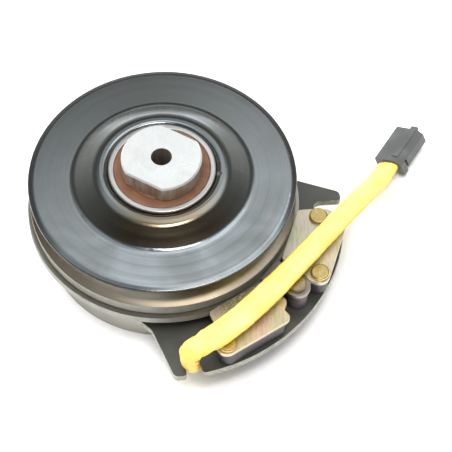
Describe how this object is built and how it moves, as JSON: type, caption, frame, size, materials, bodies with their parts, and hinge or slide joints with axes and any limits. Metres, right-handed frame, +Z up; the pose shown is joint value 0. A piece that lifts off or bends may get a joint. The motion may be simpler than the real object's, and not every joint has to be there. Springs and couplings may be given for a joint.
{
  "type": "electromagnetic clutch",
  "caption": "Electromagnetic blade clutch with a V-belt pulley, permanent-magnet brake, anti-rotation plate, sleeved coil lead and plug.",
  "frame": {"origin": "shaft axis at the underside of the stationary field shell", "axes": "+Z up along the shaft towards the pulley and the bolt cap, +X towards the upper anti-rotation slot, +Y away from the plate's other slot"},
  "size_m": [0.2395, 0.19, 0.0811],
  "materials": {
    "bare_steel": "machined, dull",
    "bearing_steel": "ground and polished",
    "black_nylon": "moulded nylon",
    "black_steel": "semi-gloss black coating",
    "chromate": "iridescent yellow chromate",
    "copper": "enamelled copper wire",
    "dark_steel": "dark phosphated steel",
    "gold_rivet": "yellow chromate on steel, satin",
    "lead_wire": "insulated wire",
    "lining": "friction composite",
    "magnet": "dark grey ferrite, matt",
    "plug_plastic": "dark grey nylon, satin",
    "pulley_zinc": "bright zinc plate with turning marks",
    "rusty_seal": "brown seal, rust stained",
    "spring_steel": "blued spring steel",
    "terminal_brass": "stamped brass",
    "yellow_sleeve": "woven varnished sleeve",
    "zinc_steel": "yellowed zinc plate, fine scratches"
  },
  "bodies": {
    "field": {"field_shell": "zinc_steel", "coil_bobbin": "black_nylon", "coil_winding": "copper", "coil_potting": "black_nylon", "field_bearing_outer_ring": "bearing_steel", "field_bearing_seals": "rusty_seal", "bearing_snap_ring": "spring_steel", "mounting_plate": "black_steel", "weld_bead": "dark_steel", "brake_plate_a": "chromate", "brake_plate_b": "chromate", "backing_plate_a": "dark_steel", "backing_plate_b": "dark_steel", "magnet_block_a": "magnet", "magnet_block_b": "magnet", "brake_rivets": "gold_rivet", "centre_strap": "zinc_steel", "strap_post": "dark_steel", "strap_rivet": "gold_rivet", "lead_grommet": "black_nylon", "coil_leads": "lead_wire", "lead_sleeve": "yellow_sleeve", "plug_housing": "plug_plastic", "plug_terminals": "terminal_brass", "plug_latch": "plug_plastic"},
    "rotor": {"drive_hub": "bare_steel", "rotor_disc": "bare_steel", "friction_lining": "lining", "end_cap": "zinc_steel", "bearing_spacer": "bare_steel", "hub_snap_ring": "spring_steel", "pulley_bearing_inner_ring": "bearing_steel", "field_bearing_inner_ring": "bearing_steel"},
    "pulley": {"pulley_upper": "pulley_zinc", "groove_core": "pulley_zinc", "pulley_lower": "zinc_steel", "pulley_bearing_outer_ring": "bearing_steel", "pulley_bearing_seals": "rusty_seal", "leaf_springs": "spring_steel", "pulley_leaf_rivets": "gold_rivet"},
    "armature": {"armature_disc": "bare_steel", "armature_leaf_rivets": "gold_rivet"},
    "pulley_cage": {"pulley_bearing_balls": "bearing_steel", "pulley_bearing_cage": "black_nylon"},
    "field_cage": {"field_bearing_balls": "bearing_steel", "field_bearing_cage": "black_nylon"}
  },
  "joints": [
    {"name": "rotor_spin", "type": "hinge", "parent": "field", "child": "rotor", "pos_m": [0, 0, 0.03], "axis": [0, 0, 1], "continuous": true},
    {"name": "pulley_spin", "type": "hinge", "parent": "rotor", "child": "pulley", "pos_m": [0, 0, 0.05], "axis": [0, 0, 1], "continuous": true},
    {"name": "armature_slide", "type": "slide", "parent": "pulley", "child": "armature", "axis": [0, 0, 1], "range_m": [-0.0004, 0], "stiffness_N_per_m": 20000, "deforming": ["leaf_springs"]},
    {"name": "pulley_cage_spin", "type": "hinge", "parent": "rotor", "child": "pulley_cage", "pos_m": [0, 0, 0.0635], "axis": [0, 0, 1], "continuous": true},
    {"name": "field_cage_spin", "type": "hinge", "parent": "field", "child": "field_cage", "pos_m": [0, 0, 0.0096], "axis": [0, 0, 1], "continuous": true}
  ],
  "couplings": [
    {"joint": "pulley_cage_spin", "follows": "pulley_spin", "ratio": 0.5819},
    {"joint": "field_cage_spin", "follows": "rotor_spin", "ratio": 0.4181}
  ]
}
